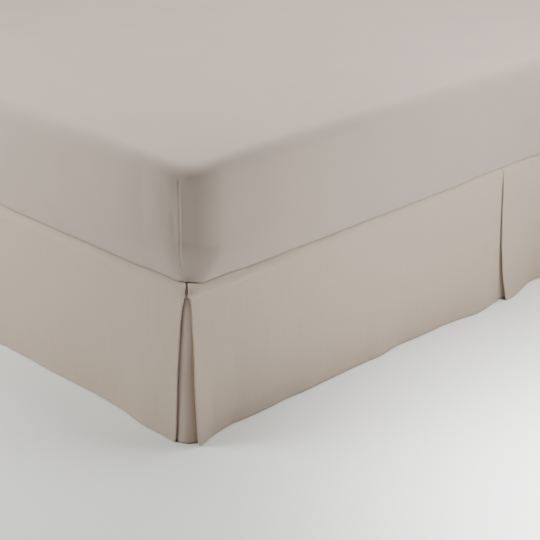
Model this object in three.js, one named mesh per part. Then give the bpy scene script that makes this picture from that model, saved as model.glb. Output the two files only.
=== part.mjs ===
// A tailored bed skirt on a double bed: a deck that lies between mattress and base, three drops that
// hang from its edge to just above the floor, inverted pleats at the corners and at mid side, and the
// plain base and mattress that carry it.  Millimetres, +Z up, foot of the bed at -Y, floor at Z = 0.
import * as THREE from 'three';

// ---------------------------------------------------------------------------------------------------
// Driving dimensions
// ---------------------------------------------------------------------------------------------------
const BED_WIDTH = 1500;
const BED_LENGTH = 2000;
const BASE_TOP = 344;            // height of the top of the bed base
const BASE_BOTTOM = 38;
const BASE_INSET = 14;           // the base face lies this far inside the hanging plane of the drops
const BASE_EDGE = 14;            // radius of the base's upper edge
const CORNER = 36;               // plan radius at which the drops turn the corner of the bed
const MATTRESS_THICK = 244;
const MATTRESS_WIDTH = 1486;
const MATTRESS_LENGTH = 1972;
const GLIDE_RADIUS = 26;
const GLIDE_TAPER = 3;           // smaller at the foot
const GLIDE_INSET = 110;         // from the sides of the bed to the middle of a glide

const CLOTH = 1.0;               // thickness of the skirt cloth
const HEM = 2;                   // height of the hem above the floor
const SEAM = 31;                 // the drops reach this far in over the base, where the deck is sewn on
const EDGE_TURN = 18;            // radius at which a drop turns over the edge of the base
const EDGE_TURN_STEP = 1.5;      // each layer further in turns this much tighter
const LAYER_HANG = 2.8;          // pitch of the layers of a pleat where they hang
const LAYER_FLAT = 1.4;          // pitch of the same layers where they lie on the base
const PLEAT_DEPTH = 98;          // how far a flap is folded back
const HEAD_END = 1972;           // the side drops stop here, measured from the foot of the bed
const GAP = 0.3;                 // between pieces that rest on each other
const FACING = 0.7;              // between the two flaps of a closed pleat

const CLOTH_BED = BASE_TOP + GAP + CLOTH / 2;         // middle of a cloth that lies on the base
const DIAGONAL = CORNER * Math.PI / 4;                // run from the start of a corner to its middle
const PILE_REACH = PLEAT_DEPTH + 12;                  // a pleat's layers lift the top cloth this far
const PILE_FADE = 58;                                 // and the lift fades over this much more
const [UNDERLAY, RETURN, PANEL] = [0, 1, 2];          // the three layers of a pleat, from the base out

// ---------------------------------------------------------------------------------------------------
// Shape tables.  "drop" runs from 0 at the top of the base to 1 at the hem.
// ---------------------------------------------------------------------------------------------------
// How far each flap reaches round its corner, past the start of the round: it just meets its
// neighbour at the top, gapes below the edge of the base, is tacked, and then swings open.
const CORNER_FLAPS = [
  { drop: 0.000, sideRight: 28.2, footRight: 28.2, sideLeft: 28.2, footLeft: 28.2 },
  { drop: 0.015, sideRight: 25.2, footRight: 25.2, sideLeft: 25.8, footLeft: 25.8 },
  { drop: 0.048, sideRight: 27.9, footRight: 27.9, sideLeft: 27.9, footLeft: 27.9 },
  { drop: 0.070, sideRight: 25.6, footRight: 25.2, sideLeft: 25.8, footLeft: 26.0 },
  { drop: 0.105, sideRight: 23.4, footRight: 21.4, sideLeft: 24.0, footLeft: 24.8 },
  { drop: 0.200, sideRight: 20.8, footRight: 16.4, sideLeft: 20.8, footLeft: 23.2 },
  { drop: 0.360, sideRight: 20.0, footRight: 12.7, sideLeft: 17.8, footLeft: 22.0 },
  { drop: 0.580, sideRight: 23.6, footRight: 9.6, sideLeft: 15.2, footLeft: 21.3 },
  { drop: 0.800, sideRight: 27.0, footRight: 8.5, sideLeft: 12.5, footLeft: 20.5 },
  { drop: 0.950, sideRight: 27.8, footRight: 7.6, sideLeft: 10.0, footLeft: 18.8 },
  { drop: 1.000, sideRight: 25.2, footRight: 5.6, sideLeft: 9.0, footLeft: 18.0 },
];
// How much of the corner's bend the hanging flaps have lost at each height.
const UNBEND = [
  { drop: 0.00, lost: 0.00 },
  { drop: 0.08, lost: 0.00 },
  { drop: 0.25, lost: 0.30 },
  { drop: 0.50, lost: 0.65 },
  { drop: 0.80, lost: 0.92 },
  { drop: 1.00, lost: 1.00 },
];
// Where the two folded edges of each middle pleat lie, measured from its centre towards the far end.
const MIDDLE_SLITS = [
  { drop: 0.00, rightNear: 5.6, rightFar: 6.4, leftNear: -0.4, leftFar: 0.4, footNear: -0.4, footFar: 0.4 },
  { drop: 0.06, rightNear: 5.6, rightFar: 6.4, leftNear: -0.4, leftFar: 0.4, footNear: -0.4, footFar: 0.4 },
  { drop: 0.11, rightNear: 5.4, rightFar: 9.4, leftNear: -1.0, leftFar: 1.3, footNear: -1.1, footFar: 0.9 },
  { drop: 0.20, rightNear: 5.4, rightFar: 11.0, leftNear: -2.0, leftFar: 2.3, footNear: -2.0, footFar: 1.6 },
  { drop: 0.36, rightNear: 6.5, rightFar: 11.0, leftNear: -3.4, leftFar: 3.3, footNear: -2.9, footFar: 2.6 },
  { drop: 0.58, rightNear: 7.9, rightFar: 13.0, leftNear: -4.7, leftFar: 4.2, footNear: -3.9, footFar: 3.9 },
  { drop: 0.80, rightNear: 10.9, rightFar: 17, leftNear: -6.1, leftFar: 5.6, footNear: -5.1, footFar: 6.2 },
  { drop: 0.95, rightNear: 11.6, rightFar: 24.2, leftNear: -8, leftFar: 7.9, footNear: -6.4, footFar: 9.4 },
  { drop: 1.00, rightNear: 12.6, rightFar: 27, leftNear: -9, leftFar: 9, footNear: -7, footFar: 11 },
];
// Soft waves of the hanging cloth.  at: distance from the start of the drop; half: half width;
// out: how far the hem stands out there; rise: power by which the wave grows from the top down.
const wave = (at, half, out, rise) => ({ at, half, out, rise });
const WAVES = {
  right: {
    near: [wave(4, 46, 19.5, 1.35), wave(125, 36, -4.5, 1.6), wave(285, 40, -2.5, 1.6),
      wave(345, 34, 1.5, 1.6), wave(575, 36, 3.5, 1.8), wave(650, 46, -4.5, 1.8), wave(925, 70, 14.5, 1.7)],
    far: [wave(1038, 62, 18, 1.9), wave(1172, 50, -10.8, 1.6), wave(1390, 60, 6, 1.7),
      wave(1560, 70, -5, 1.6), wave(1760, 80, 8, 1.8), wave(1930, 60, -4, 1.5)],
    under: [wave(1010, 60, 5, 1.6)],
  },
  foot: {
    near: [wave(24, 50, 10.5, 1.35), wave(122, 72, 13.5, 1.5), wave(330, 50, -1.5, 1.5),
      wave(470, 50, 2.5, 1.6), wave(714, 44, 6, 1.8)],
    far: [wave(800, 60, 10, 1.8), wave(940, 60, -5, 1.6), wave(1180, 70, 6, 1.7),
      wave(1375, 55, -4, 1.5), wave(1484, 50, 15, 1.35)],
    under: [wave(750, 60, 3, 1.6)],
  },
  left: {
    near: [wave(10, 52, 15, 1.35), wave(150, 50, -4, 1.6), wave(390, 60, 5, 1.7), wave(560, 50, -3.5, 1.6),
      wave(910, 75, 9, 1.8)],
    far: [wave(1060, 60, 12, 1.8), wave(1200, 50, -6, 1.6), wave(1450, 70, 6, 1.7),
      wave(1700, 60, -4, 1.6), wave(1880, 80, 7, 1.8)],
    under: [wave(1000, 60, 4, 1.6)],
  },
};
// The corner inserts belly out between the flaps.  turn: degrees from the middle of the corner
// towards the foot end; half: half width in degrees; out and rise as above.
const INSERT_BELLY = {
  right: { turn: 16, half: 62, out: 12.5, rise: 1.9 },
  left: { turn: -6, half: 58, out: 10, rise: 1.9 },
};
// Stations down a drop: in over the base, round its edge, and down the hanging cloth.
const TURN_STEPS = [0.5, 0];                          // share of the quarter turn still to go
const HANG_ROWS = [0.105, 0.2, 0.36, 0.58, 0.8, 1];

// ---------------------------------------------------------------------------------------------------
// Smooth curves through the tables
// ---------------------------------------------------------------------------------------------------
const smooth = (t) => THREE.MathUtils.smoothstep(t, 0, 1);

// The value of one column at a height, on a curve that never overshoots the rows.
function read(table, column, drop) {
  const last = table.length - 1;
  const slopeOf = (k) => (table[k + 1][column] - table[k][column]) / (table[k + 1].drop - table[k].drop);
  const bend = (k) => {
    if (k === 0 || k === last) return slopeOf(Math.min(k, last - 1));
    const [before, after] = [slopeOf(k - 1), slopeOf(k)];
    return before * after <= 0 ? 0 : 2 * before * after / (before + after);
  };
  let k = 0;
  while (k < last - 1 && drop > table[k + 1].drop) k += 1;
  const span = table[k + 1].drop - table[k].drop;
  const t = THREE.MathUtils.clamp((drop - table[k].drop) / span, 0, 1);
  const [t2, t3] = [t * t, t * t * t];
  return (2 * t3 - 3 * t2 + 1) * table[k][column] + (t3 - 2 * t2 + t) * span * bend(k)
    + (3 * t2 - 2 * t3) * table[k + 1][column] + (t3 - t2) * span * bend(k + 1);
}

function sumOfWaves(waves, at, drop) {
  const standing = (w) => w.out * Math.exp(-(((at - w.at) / w.half) ** 2)) * drop ** w.rise;
  return waves.reduce((sum, w) => sum + standing(w), 0);
}

// ---------------------------------------------------------------------------------------------------
// The three walls that the drops hang along.  A place on a wall is its run from the foot corner (or
// from the right-hand corner, at the foot end) and how far it stands out from the hanging plane.
// ---------------------------------------------------------------------------------------------------
const HALF_WIDTH = BED_WIDTH / 2;
const HALF_LENGTH = BED_LENGTH / 2;
const WALLS = {
  right: {
    length: BED_LENGTH,
    middle: HALF_LENGTH,
    toPlan: (run, out) => [HALF_WIDTH + out, run - HALF_LENGTH],
  },
  left: {
    length: BED_LENGTH,
    middle: HALF_LENGTH,
    toPlan: (run, out) => [-HALF_WIDTH - out, run - HALF_LENGTH],
  },
  foot: {
    length: BED_WIDTH,
    middle: HALF_WIDTH,
    corners: 2,
    toPlan: (run, out) => [HALF_WIDTH - run, -HALF_LENGTH - out],
  },
};

// Plan position and direction of the cloth at a run along a wall, bent round the corner it reaches.
function onWall(wall, run, out, curvature) {
  const mirrored = wall.corners === 2 && run > wall.middle;
  const fromCorner = mirrored ? wall.length - run : run;
  const past = Math.max(0, CORNER - fromCorner);
  const turn = past * curvature;
  const arcRun = curvature > 1e-9 ? Math.sin(turn) / curvature : past;
  const arcOut = curvature > 1e-9 ? (1 - Math.cos(turn)) / curvature : 0;
  const along = Math.max(fromCorner, CORNER) - arcRun - out * Math.sin(turn);
  const stand = out * Math.cos(turn) - arcOut;
  return wall.toPlan(mirrored ? wall.length - along : along, stand);
}

// ---------------------------------------------------------------------------------------------------
// Layers: a point of the middle surface of one layer, on one station down the drop
// ---------------------------------------------------------------------------------------------------
const HANG_TOP = CLOTH_BED + 2 * LAYER_FLAT;          // height of the outer cloth over a pleat
const DROP = HANG_TOP - HEM;
const STATIONS = [
  { inset: SEAM, turnLeft: 1 },
  { turnLeft: 1 },
  ...TURN_STEPS.map((turnLeft) => ({ turnLeft })),
  ...HANG_ROWS.map((drop) => ({ drop, turnLeft: 0 })),
];

// Share by which the layers of a pleat or a corner lift the outer cloth on the base.
function pile(wall, run) {
  const ends = wall.corners === 2 ? [0, wall.length] : [0];
  const reach = Math.min(...[...ends, wall.middle].map((centre) => Math.abs(run - centre)));
  return 1 - smooth((reach - PILE_REACH) / PILE_FADE);
}

// How far in and how high the layer lies at a station, before its waves.
function section(station, layer, lift) {
  const depth = PANEL - layer;
  const radius = EDGE_TURN - EDGE_TURN_STEP * depth;
  const top = CLOTH_BED + LAYER_FLAT * (layer === PANEL ? 2 * lift : layer);
  const face = LAYER_HANG * depth;
  const angle = station.turnLeft * Math.PI / 2;
  const inset = station.inset ?? face + radius * (1 - Math.cos(angle));
  const turnEnd = top - radius;
  const height = station.drop === undefined
    ? turnEnd + radius * Math.sin(angle)
    : Math.min(turnEnd - 1, HANG_TOP - station.drop * DROP);
  return { inset, height };
}

function layerPoint(wallName, half, layer, run, station) {
  const wall = WALLS[wallName];
  const { inset, height } = section(station, layer, pile(wall, run));
  const drop = THREE.MathUtils.clamp((HANG_TOP - height) / DROP, 0, 1);
  const waves = layer === UNDERLAY ? WAVES[wallName].under : WAVES[wallName][half];
  const out = sumOfWaves(waves, run, drop) - inset;
  const curvature = (1 - read(UNBEND, 'lost', drop)) / CORNER;
  const [x, y] = onWall(wall, run, out, curvature);
  return new THREE.Vector3(x, y, height);
}

// The cloth turns back on itself between two layers, bulging towards "along".
function foldPoint(outer, inner, along, angle) {
  const middle = outer.clone().add(inner).multiplyScalar(0.5);
  const arm = outer.clone().sub(middle);
  return middle.addScaledVector(arm, Math.cos(angle)).addScaledVector(along, arm.length() * Math.sin(angle));
}

// ---------------------------------------------------------------------------------------------------
// A sheet of cloth from its middle surface: rows of points, given a thickness and closed at the rim
// ---------------------------------------------------------------------------------------------------
function meshFrom(points, triangles) {
  const geometry = new THREE.BufferGeometry();
  const coordinates = points.flatMap((p) => [p.x, p.y, p.z]);
  geometry.setAttribute('position', new THREE.Float32BufferAttribute(coordinates, 3));
  const volume = triangles.reduce((sum, [a, b, c]) => sum
    + points[a].dot(new THREE.Vector3().crossVectors(points[b], points[c])), 0);
  const outward = volume > 0 ? triangles : triangles.map(([a, b, c]) => [a, c, b]);
  geometry.setIndex(outward.flat());
  geometry.computeVertexNormals();
  return geometry;
}

function clothSheet(rows) {
  const [down, across] = [rows.length, rows[0].length];
  const { clamp } = THREE.MathUtils;
  const clampedPoint = (i, j) => rows[clamp(i, 0, down - 1)][clamp(j, 0, across - 1)];
  const faces = [1, -1].map((side) => rows.flatMap((row, i) => row.map((point, j) => {
    const acrossWay = clampedPoint(i, j + 1).clone().sub(clampedPoint(i, j - 1));
    const downWay = clampedPoint(i + 1, j).clone().sub(clampedPoint(i - 1, j));
    return point.clone().addScaledVector(acrossWay.cross(downWay).normalize(), side * CLOTH / 2);
  })));
  const front = (i, j) => i * across + j;
  const back = (i, j) => down * across + front(i, j);
  const triangles = [];
  const quad = (a, b, c, d) => triangles.push([a, b, c], [a, c, d]);
  for (let i = 0; i < down - 1; i += 1) {
    for (let j = 0; j < across - 1; j += 1) {
      quad(front(i, j), front(i, j + 1), front(i + 1, j + 1), front(i + 1, j));
      quad(back(i, j), back(i + 1, j), back(i + 1, j + 1), back(i, j + 1));
    }
    quad(front(i, 0), front(i + 1, 0), back(i + 1, 0), back(i, 0));
    quad(front(i, across - 1), back(i, across - 1), back(i + 1, across - 1), front(i + 1, across - 1));
  }
  for (let j = 0; j < across - 1; j += 1) {
    quad(front(0, j), back(0, j), back(0, j + 1), front(0, j + 1));
    quad(front(down - 1, j), front(down - 1, j + 1), back(down - 1, j + 1), back(down - 1, j));
  }
  return meshFrom(faces.flat(), triangles);
}

// Shares along a length, close together at the ends where the cloth bends and wide apart between.
function spread(length, first, growth, widest, bothEnds) {
  const reach = bothEnds ? length / 2 : length;
  const stops = [0];
  for (let step = first; stops.at(-1) + step < reach; step = Math.min(step * growth, widest)) {
    stops.push(stops.at(-1) + step);
  }
  const shares = [...stops, reach].map((stop) => stop / length);
  return bothEnds ? [...shares, ...shares.slice(0, -1).reverse().map((share) => 1 - share)] : shares;
}

// ---------------------------------------------------------------------------------------------------
// Drops
// ---------------------------------------------------------------------------------------------------
const FOLD_ANGLES = [1, 2].map((k) => k * Math.PI / 3);
const UNDERLAY_STOPS = 6;

// The run at which a flap's fold is centred, so that its outer edge lies where the tables say.
function foldRun(wallName, half, edge, towards, station) {
  const wall = WALLS[wallName];
  const at = (layer, run) => layerPoint(wallName, half, layer, run, station);
  const radius = at(PANEL, edge).distanceTo(at(RETURN, edge)) / 2 + CLOTH / 2;
  const { inset, height } = section(station, PANEL, 1);
  const drop = THREE.MathUtils.clamp((HANG_TOP - height) / DROP, 0, 1);
  const atCorner = Math.min(edge, wall.length - edge) < CORNER;
  const curvature = atCorner ? (1 - read(UNBEND, 'lost', drop)) / CORNER : 0;
  return edge - towards * radius / (1 - curvature * inset);
}

// The run of a flap's outer edge at a station: at a corner of the bed, or at the middle pleat.
function flapEdge(wallName, place, station) {
  const wall = WALLS[wallName];
  const { inset, height } = section(station, PANEL, 1);
  const drop = THREE.MathUtils.clamp((HANG_TOP - height) / DROP, 0, 1);
  if (place.slit) return wall.middle + read(MIDDLE_SLITS, place.slit, drop);
  const curvature = (1 - read(UNBEND, 'lost', drop)) / CORNER;
  const room = DIAGONAL - FACING / 2 / (1 - curvature * inset);
  const past = Math.min(read(CORNER_FLAPS, place.flap, drop), room);
  return place.farEnd ? wall.length - CORNER + past : CORNER - past;
}

// One row of a flap: from its free fold back to the inner end of its return.  towards is +1 where the
// fold faces the far end of the wall.
function foldedBack(wallName, half, place, towards, station) {
  const fold = foldRun(wallName, half, flapEdge(wallName, place, station), towards, station);
  const inner = innerEnd(wallName, place, towards);
  const at = (layer, run) => layerPoint(wallName, half, layer, run, station);
  const along = at(PANEL, fold + towards).sub(at(PANEL, fold - towards)).setZ(0).normalize();
  const turns = FOLD_ANGLES.map((angle) => foldPoint(at(PANEL, fold), at(RETURN, fold), along, angle));
  const back = spread(PLEAT_DEPTH, 9, 1.7, 40, false)
    .map((share) => at(RETURN, THREE.MathUtils.lerp(fold, inner, share)));
  return { fold, points: [...turns, ...back] };
}

function innerEnd(wallName, place, towards) {
  const wall = WALLS[wallName];
  if (place.slit) return wall.middle - towards * PLEAT_DEPTH;
  const depth = PLEAT_DEPTH + CORNER - DIAGONAL;
  return place.farEnd ? wall.length - depth : depth;
}

function panelRow(wallName, half, from, to, station) {
  const shares = spread(WALLS[wallName].middle, 8, 1.42, 74, true);
  const runs = shares.map((share) => THREE.MathUtils.lerp(from, to, share));
  return runs.map((run) => layerPoint(wallName, half, PANEL, run, station));
}

// The inner folds of the middle pleat and the underlay between them.
function underlayRow(wallName, station) {
  const { middle } = WALLS[wallName];
  const [start, end] = [middle - PLEAT_DEPTH, middle + PLEAT_DEPTH];
  const at = (half, layer, run) => layerPoint(wallName, half, layer, run, station);
  const along = at('near', UNDERLAY, middle + 1).sub(at('near', UNDERLAY, middle)).normalize();
  const turn = (half, run, way) => FOLD_ANGLES.map((angle) => foldPoint(
    at(half, RETURN, run), at(half, UNDERLAY, run), along.clone().multiplyScalar(way), angle));
  const across = Array.from({ length: UNDERLAY_STOPS }, (_, k) => k / (UNDERLAY_STOPS - 1))
    .map((share) => at('near', UNDERLAY, THREE.MathUtils.lerp(start, end, share)));
  return [...turn('near', start, -1), ...across, ...turn('far', end, 1).reverse()];
}

// A whole drop, read from the corner pleat at its near end, through the middle pleat, to its far end.
function dropRow(wallName, flaps, station) {
  const near = foldedBack(wallName, 'near', flaps.start, -1, station);
  const slitNear = foldedBack(wallName, 'near', flaps.slitNear, 1, station);
  const slitFar = foldedBack(wallName, 'far', flaps.slitFar, -1, station);
  const far = flaps.end && foldedBack(wallName, 'far', flaps.end, 1, station);
  return [
    ...near.points.reverse(),
    ...panelRow(wallName, 'near', near.fold, slitNear.fold, station),
    ...slitNear.points,
    ...underlayRow(wallName, station),
    ...slitFar.points.reverse(),
    ...panelRow(wallName, 'far', slitFar.fold, far ? far.fold : HEAD_END, station),
    ...(far ? far.points : []),
  ];
}

const DROPS = {
  right: { start: { flap: 'sideRight' }, slitNear: { slit: 'rightNear' }, slitFar: { slit: 'rightFar' } },
  left: { start: { flap: 'sideLeft' }, slitNear: { slit: 'leftNear' }, slitFar: { slit: 'leftFar' } },
  foot: {
    start: { flap: 'footRight' },
    slitNear: { slit: 'footNear' },
    slitFar: { slit: 'footFar' },
    end: { flap: 'footLeft', farEnd: true },
  },
};

// ---------------------------------------------------------------------------------------------------
// Corner inserts: behind the returns of both flaps and round the corner between them
// ---------------------------------------------------------------------------------------------------
const INSERT_END = PLEAT_DEPTH + CORNER - DIAGONAL - 14;     // its ends lie behind the returns
const INSERT_RUNS = [INSERT_END, CORNER + 16, CORNER, CORNER - DIAGONAL / 3, CORNER - DIAGONAL / 1.5];

function insertRow(hand, station) {
  const belly = INSERT_BELLY[hand];
  const { inset, height } = section(station, UNDERLAY, 0);
  const drop = THREE.MathUtils.clamp((HANG_TOP - height) / DROP, 0, 1);
  const point = (wallName, run, way) => {
    const wall = WALLS[wallName];
    const turn = way * THREE.MathUtils.radToDeg((DIAGONAL - CORNER + run) / CORNER) - belly.turn;
    const out = belly.out * Math.exp(-((turn / belly.half) ** 2)) * drop ** belly.rise - inset;
    const fromStart = wallName === 'foot' && hand === 'left' ? wall.length - run : run;
    const [x, y] = onWall(wall, fromStart, out, 1 / CORNER);
    return new THREE.Vector3(x, y, height);
  };
  return [
    ...INSERT_RUNS.map((run) => point(hand, run, -1)),
    point(hand, CORNER - DIAGONAL, -1),
    ...[...INSERT_RUNS].reverse().map((run) => point('foot', run, 1)),
  ];
}

// ---------------------------------------------------------------------------------------------------
// Deck, base and mattress: stacks of rounded rectangles
// ---------------------------------------------------------------------------------------------------
function roundedRing(halfX, halfY, radius, cornerSteps, stopsX = [], stopsY = []) {
  const corners = [[1, -1, -90], [1, 1, 0], [-1, 1, 90], [-1, -1, 180]];
  const sides = [
    stopsY.map((y) => [halfX, y]),
    stopsX.map((x) => [x, halfY]).reverse(),
    stopsY.map((y) => [-halfX, y]).reverse(),
    stopsX.map((x) => [x, -halfY]),
  ];
  return corners.flatMap(([sx, sy, startAngle], k) => {
    const round = Array.from({ length: cornerSteps + 1 }, (_, step) => {
      const angle = THREE.MathUtils.degToRad(startAngle + 90 * step / cornerSteps);
      const [centreX, centreY] = [sx * (halfX - radius), sy * (halfY - radius)];
      return [centreX + radius * Math.cos(angle), centreY + radius * Math.sin(angle)];
    });
    return [...round, ...sides[k]];
  }).map(([x, y]) => new THREE.Vector2(x, y));
}

// A closed solid from rings of points, the first and the last of them flat and filled.
function stackedRings(rings) {
  const across = rings[0].length;
  const triangles = [];
  rings.slice(1).forEach((_, i) => {
    for (let j = 0; j < across; j += 1) {
      const [a, b] = [i * across + j, i * across + (j + 1) % across];
      triangles.push([a, b, b + across], [a, b + across, a + across]);
    }
  });
  const last = (rings.length - 1) * across;
  const cap = (ring) => THREE.ShapeUtils.triangulateShape(ring.map((p) => new THREE.Vector2(p.x, p.y)), []);
  cap(rings[0]).forEach(([a, b, c]) => triangles.push([a, c, b]));
  cap(rings.at(-1)).forEach(([a, b, c]) => triangles.push([last + a, last + b, last + c]));
  return meshFrom(rings.flat(), triangles);
}

const atHeight = (ring, height) => ring.map((p) => new THREE.Vector3(p.x, p.y, height));

function deckGeometry() {
  const inset = SEAM + 2 * GAP;
  const ring = roundedRing(HALF_WIDTH - inset, HALF_LENGTH - inset, CORNER - inset, 3);
  return stackedRings([atHeight(ring, BASE_TOP + GAP), atHeight(ring, BASE_TOP + GAP + CLOTH)]);
}

function baseGeometry() {
  const radius = CORNER - BASE_INSET;
  const [halfX, halfY] = [HALF_WIDTH - BASE_INSET, HALF_LENGTH - BASE_INSET];
  const outline = (inset) => roundedRing(halfX - inset, halfY - inset, radius - inset, 5);
  const ring = (inset, height) => atHeight(outline(inset), height);
  const bottomEdge = 5;
  const turns = [0, 0.25, 0.5, 0.75, 1].map((share) => share * Math.PI / 2);
  return stackedRings([
    ring(bottomEdge, BASE_BOTTOM),
    ring(0, BASE_BOTTOM + bottomEdge),
    ...turns.map((t) => ring(BASE_EDGE * (1 - Math.cos(t)), BASE_TOP - BASE_EDGE * (1 - Math.sin(t)))),
  ]);
}

// The mattress in its fitted sheet: rounded edges, a slight crown, corners drawn down by the sheet,
// and its underside pressed up a little where the layers of the pleats lie under it.
const MATTRESS = {
  bottomEdge: 7,               // radii of its edges
  topEdge: 40,
  corner: 42,                  // plan radius
  crown: 5,                    // rise of the top from the edges to the middle
  cornerDroop: 12,             // how far the top is drawn down at a corner, and over what reach
  droopReach: 120,
  belly: 3,                    // bulge of the sides at mid height
  flatBottom: 130,             // the underside lies flat from here in
  crownRun: 140,               // two thirds of the crown is reached here
  flatTop: 330,                // and all of it here
};
const MATTRESS_BOTTOM = CLOTH_BED + CLOTH / 2 + 4 * GAP;
const PILE_STOPS = [PILE_REACH, PILE_REACH + PILE_FADE / 2, PILE_REACH + PILE_FADE];
const stopsAlong = (half) => {
  const offCentre = [...PILE_STOPS, ...PILE_STOPS.map((stop) => half - stop)].sort((a, b) => a - b);
  return [...offCentre.map((stop) => -stop).reverse(), 0, ...offCentre];
};

// One ring of the mattress.  Rings far in on its faces are the ring at the edge, drawn in.
// bulge: how far it stands out; drooping and pressed: shares of the corner droop and of pressUp.
function mattressRing(inset, height, { bulge = 0, drooping = 0, pressed = 0 }) {
  const [fullX, fullY] = [MATTRESS_WIDTH / 2 + bulge, MATTRESS_LENGTH / 2 + bulge];
  const edgeInset = Math.min(inset, 2 * SEAM);
  const radius = Math.max(6, MATTRESS.corner - edgeInset);
  const [halfX, halfY] = [fullX - edgeInset, fullY - edgeInset];
  const drawnIn = new THREE.Vector2((fullX - inset) / halfX, (fullY - inset) / halfY);
  const edge = roundedRing(halfX, halfY, radius, 5, stopsAlong(HALF_WIDTH), stopsAlong(HALF_LENGTH));
  return edge.map((p) => p.multiply(drawnIn)).map((p) => {
    const toCorner = Math.hypot(fullX - Math.abs(p.x), fullY - Math.abs(p.y));
    const droop = MATTRESS.cornerDroop * Math.exp(-((toCorner / MATTRESS.droopReach) ** 2));
    return new THREE.Vector3(p.x, p.y, height - drooping * droop + pressed * pressUp(p));
  });
}

// How far the pleat layers under this place of the mattress push it up.
function pressUp(p) {
  const onSide = HALF_WIDTH - Math.abs(p.x) < HALF_LENGTH + p.y;
  const wall = onSide ? WALLS.right : WALLS.foot;
  const run = onSide ? p.y + HALF_LENGTH : HALF_WIDTH - p.x;
  const inward = onSide ? HALF_WIDTH - Math.abs(p.x) : HALF_LENGTH + p.y;
  return 2 * LAYER_FLAT * pile(wall, run) * (1 - smooth((inward - 2 * SEAM) / 60));
}

function mattressGeometry() {
  const { bottomEdge, topEdge, crown, belly } = MATTRESS;
  const top = MATTRESS_BOTTOM + MATTRESS_THICK;
  const rings = [
    mattressRing(MATTRESS.flatBottom, MATTRESS_BOTTOM, {}),
    mattressRing(2 * SEAM, MATTRESS_BOTTOM, { pressed: 1 }),
  ];
  [1, 0.66, 0.33, 0].forEach((left) => {
    const angle = left * Math.PI / 2;
    const height = MATTRESS_BOTTOM + bottomEdge * (1 - Math.sin(angle));
    rings.push(mattressRing(bottomEdge * (1 - Math.cos(angle)), height, { pressed: 1 }));
  });
  rings.push(mattressRing(0, MATTRESS_BOTTOM + MATTRESS_THICK / 2, { bulge: belly }));
  [0, 0.2, 0.4, 0.6, 0.8, 1].forEach((turned) => {
    const angle = turned * Math.PI / 2;
    const height = top - crown - topEdge * (1 - Math.sin(angle));
    rings.push(mattressRing(topEdge * (1 - Math.cos(angle)), height, { drooping: turned }));
  });
  rings.push(mattressRing(MATTRESS.crownRun, top - crown / 3, { drooping: 1 }));
  rings.push(mattressRing(MATTRESS.flatTop, top, {}));
  return stackedRings(rings);
}

// ---------------------------------------------------------------------------------------------------
// Assembly
// ---------------------------------------------------------------------------------------------------
const skirtCloth = new THREE.MeshStandardMaterial({ color: '#b4aba1', roughness: 0.9, metalness: 0 });
const insertCloth = new THREE.MeshStandardMaterial({ color: '#a89e93', roughness: 0.9, metalness: 0 });
const sheetCloth = new THREE.MeshStandardMaterial({ color: '#bfb7b1', roughness: 0.85, metalness: 0 });
const baseCloth = new THREE.MeshStandardMaterial({ color: '#d8d4cc', roughness: 0.9, metalness: 0 });
const glidePlastic = new THREE.MeshStandardMaterial({ color: '#2b2a29', roughness: 0.5, metalness: 0 });

const bed = new THREE.Group();
function add(name, geometry, material) {
  const mesh = new THREE.Mesh(geometry, material);
  mesh.name = name;
  bed.add(mesh);
  return mesh;
}

Object.entries(DROPS).forEach(([wallName, flaps]) => {
  const rows = STATIONS.map((station) => dropRow(wallName, flaps, station));
  add(`drop_${wallName}`, clothSheet(rows), skirtCloth);
});
['right', 'left'].forEach((hand) => {
  add(`insert_${hand}`, clothSheet(STATIONS.map((station) => insertRow(hand, station))), insertCloth);
});
add('deck', deckGeometry(), skirtCloth);
add('base', baseGeometry(), baseCloth);
add('mattress', mattressGeometry(), sheetCloth);

[-1, 0, 1].forEach((lengthwise) => {
  [-1, 1].forEach((sideways) => {
    const height = BASE_BOTTOM - GAP;
    const geometry = new THREE.CylinderGeometry(GLIDE_RADIUS, GLIDE_RADIUS - GLIDE_TAPER, height, 20);
    const name = `glide_${['foot', 'middle', 'head'][lengthwise + 1]}_${sideways > 0 ? 'right' : 'left'}`;
    const glide = add(name, geometry, glidePlastic);
    const [x, y] = [sideways * (HALF_WIDTH - GLIDE_INSET), lengthwise * (HALF_LENGTH - GLIDE_INSET)];
    glide.rotation.x = Math.PI / 2;
    glide.position.set(x, y, height / 2);
  });
});

// The waves stand out unevenly, so the bed is set with the middle of its whole footprint at the origin.
bed.updateMatrixWorld(true);
const box = new THREE.Box3().setFromObject(bed);
const middle = box.getCenter(new THREE.Vector3());
bed.position.set(-middle.x, -middle.y, -box.min.z);

export default bed;
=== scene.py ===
# A tailored bed skirt on a double bed: a deck that lies between mattress and base, three drops that
# hang from its edge to just above the floor, and inverted pleats at the corners and at mid side, on the
# plain divan base and mattress that carry it.  Metres, +Z up, foot of the bed at -Y, floor at Z = 0.
import math
from collections import namedtuple

import bmesh
import bpy
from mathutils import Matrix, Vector, noise


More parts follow.
